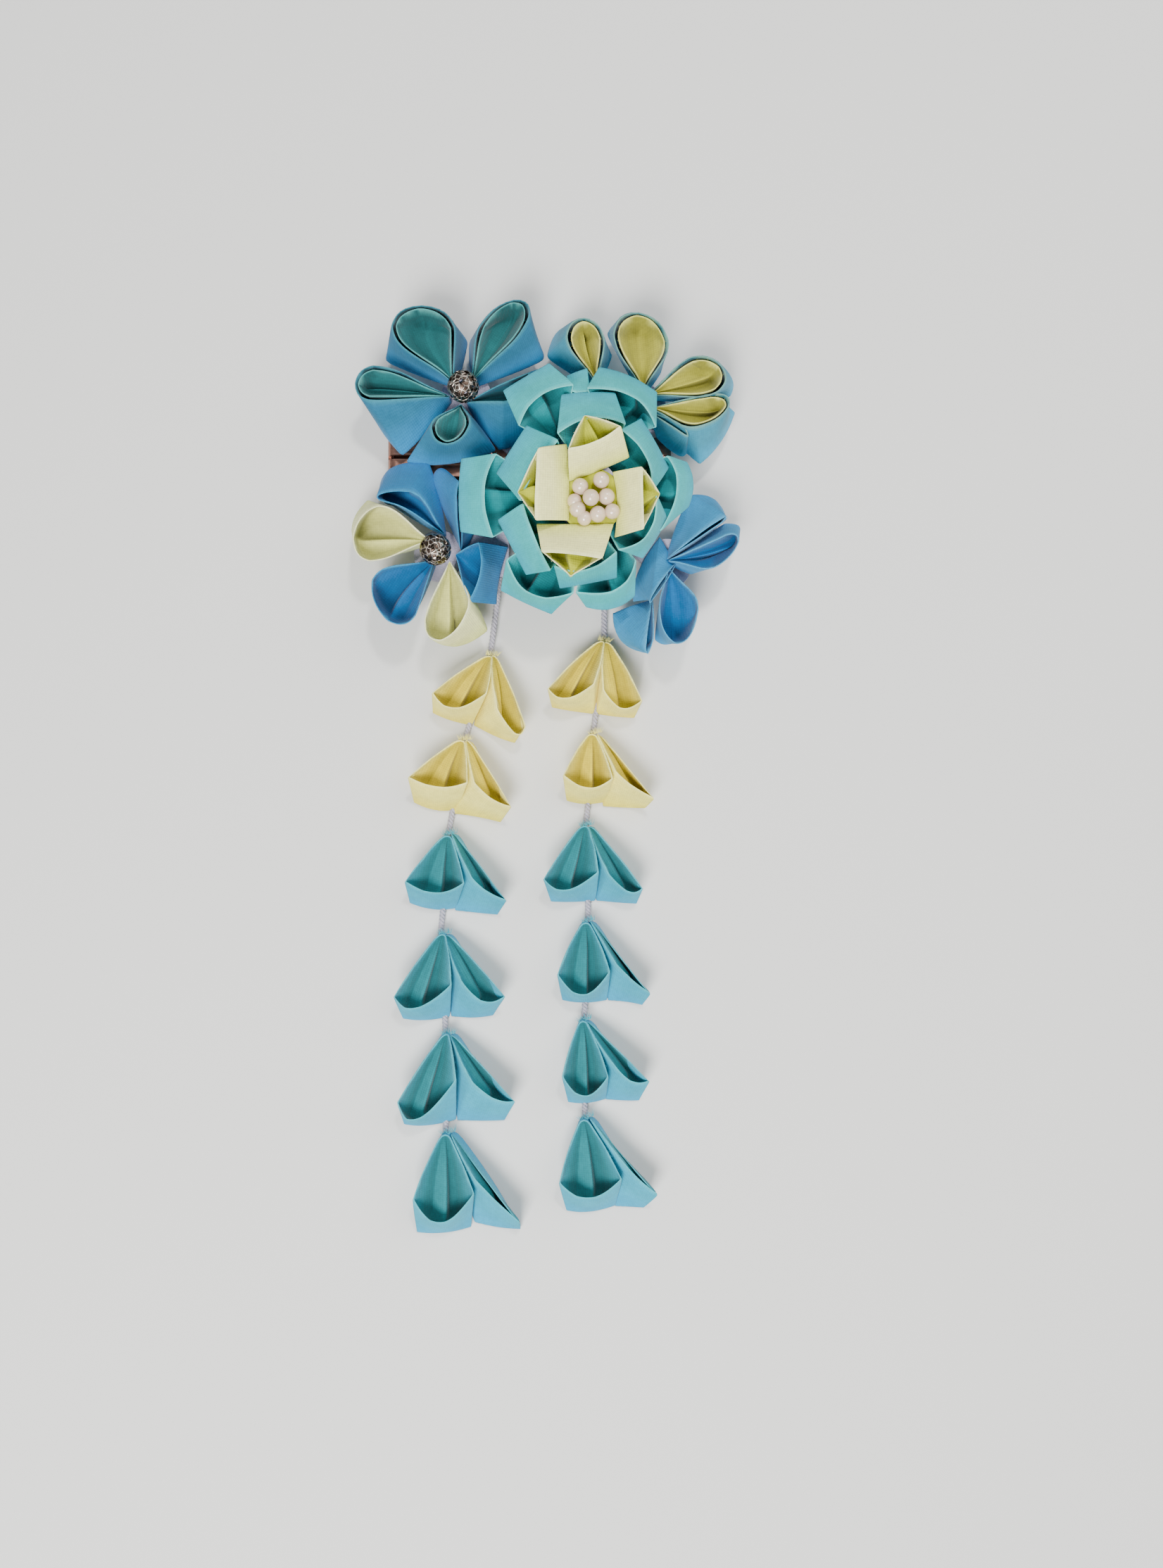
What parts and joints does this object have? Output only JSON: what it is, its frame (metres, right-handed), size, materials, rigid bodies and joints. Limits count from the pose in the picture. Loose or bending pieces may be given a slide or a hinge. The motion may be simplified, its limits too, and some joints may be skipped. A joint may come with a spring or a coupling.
{
  "type": "kanzashi hairpin",
  "caption": "Flower hair clip of folded cloth petals with pearl and bead centres and dangling strings of petal drops.",
  "frame": {"origin": "middle of the flat underside of the hair clip, which rests on the surface", "axes": "+Z out of the flowers' faces, away from the surface; +Y from the drops' ends towards the flowers' top; +X along the clip from its bend to its open end"},
  "size_m": [0.0982, 0.2417, 0.0353],
  "materials": {
    "clip_metal": "rose-tinted plated spring steel, satin",
    "base_felt": "pale lilac pressed felt",
    "blue_cloth": "plain-weave cotton, folded, medium blue",
    "teal_lining": "plain-weave cotton, folded, teal",
    "lime_lining": "plain-weave cotton, folded, yellow-green",
    "ivory_cloth": "plain-weave cotton, folded, ivory cream",
    "azure_cloth": "plain-weave cotton, folded, azure",
    "aqua_cloth": "plain-weave cotton, folded, aqua",
    "yellow_cloth": "plain-weave cotton, folded, light yellow",
    "sea_cloth": "plain-weave cotton, folded, sea green",
    "pearl": "imitation pearl, creamy pink lustre",
    "bead_metal": "antique silver filigree",
    "cord": "twisted rayon cord, light grey-lilac"
  },
  "bodies": {
    "root": {"clip": "clip_metal", "base": "base_felt", "teal_petal_1": "blue_cloth", "teal_petal_2": "blue_cloth", "teal_petal_3": "blue_cloth", "teal_petal_4": "blue_cloth", "teal_petal_5": "blue_cloth", "lime_petal_1": "blue_cloth", "lime_petal_2": "blue_cloth", "lime_petal_3": "blue_cloth", "lime_petal_4": "blue_cloth", "lime_petal_5": "blue_cloth", "cream_petal_1": "azure_cloth", "cream_petal_2": "ivory_cloth", "cream_petal_3": "azure_cloth", "cream_petal_4": "ivory_cloth", "cream_petal_5": "azure_cloth", "cream_petal_6": "azure_cloth", "azure_petal_1": "azure_cloth", "azure_petal_2": "azure_cloth", "azure_petal_3": "azure_cloth", "azure_petal_4": "azure_cloth", "azure_petal_5": "azure_cloth", "outer_petal_1": "aqua_cloth", "outer_petal_2": "aqua_cloth", "outer_petal_3": "aqua_cloth", "outer_petal_4": "aqua_cloth", "outer_petal_5": "aqua_cloth", "outer_petal_6": "aqua_cloth", "outer_petal_7": "aqua_cloth", "middle_petal_1": "aqua_cloth", "middle_petal_2": "aqua_cloth", "middle_petal_3": "aqua_cloth", "middle_petal_4": "aqua_cloth", "middle_petal_5": "aqua_cloth", "middle_petal_6": "aqua_cloth", "inner_petal_1": "ivory_cloth", "inner_petal_2": "ivory_cloth", "inner_petal_3": "ivory_cloth", "inner_petal_4": "ivory_cloth", "pearls": "pearl", "teal_bead": "bead_metal", "cream_bead": "bead_metal", "left_string": "cord", "right_string": "cord", "left_drop_1": "yellow_cloth", "left_drop_2": "yellow_cloth", "left_drop_3": "sea_cloth", "left_drop_4": "sea_cloth", "left_drop_5": "sea_cloth", "left_drop_6": "sea_cloth", "right_drop_1": "yellow_cloth", "right_drop_2": "yellow_cloth", "right_drop_3": "sea_cloth", "right_drop_4": "sea_cloth", "right_drop_5": "sea_cloth", "right_drop_6": "sea_cloth"}
  },
  "joints": []
}
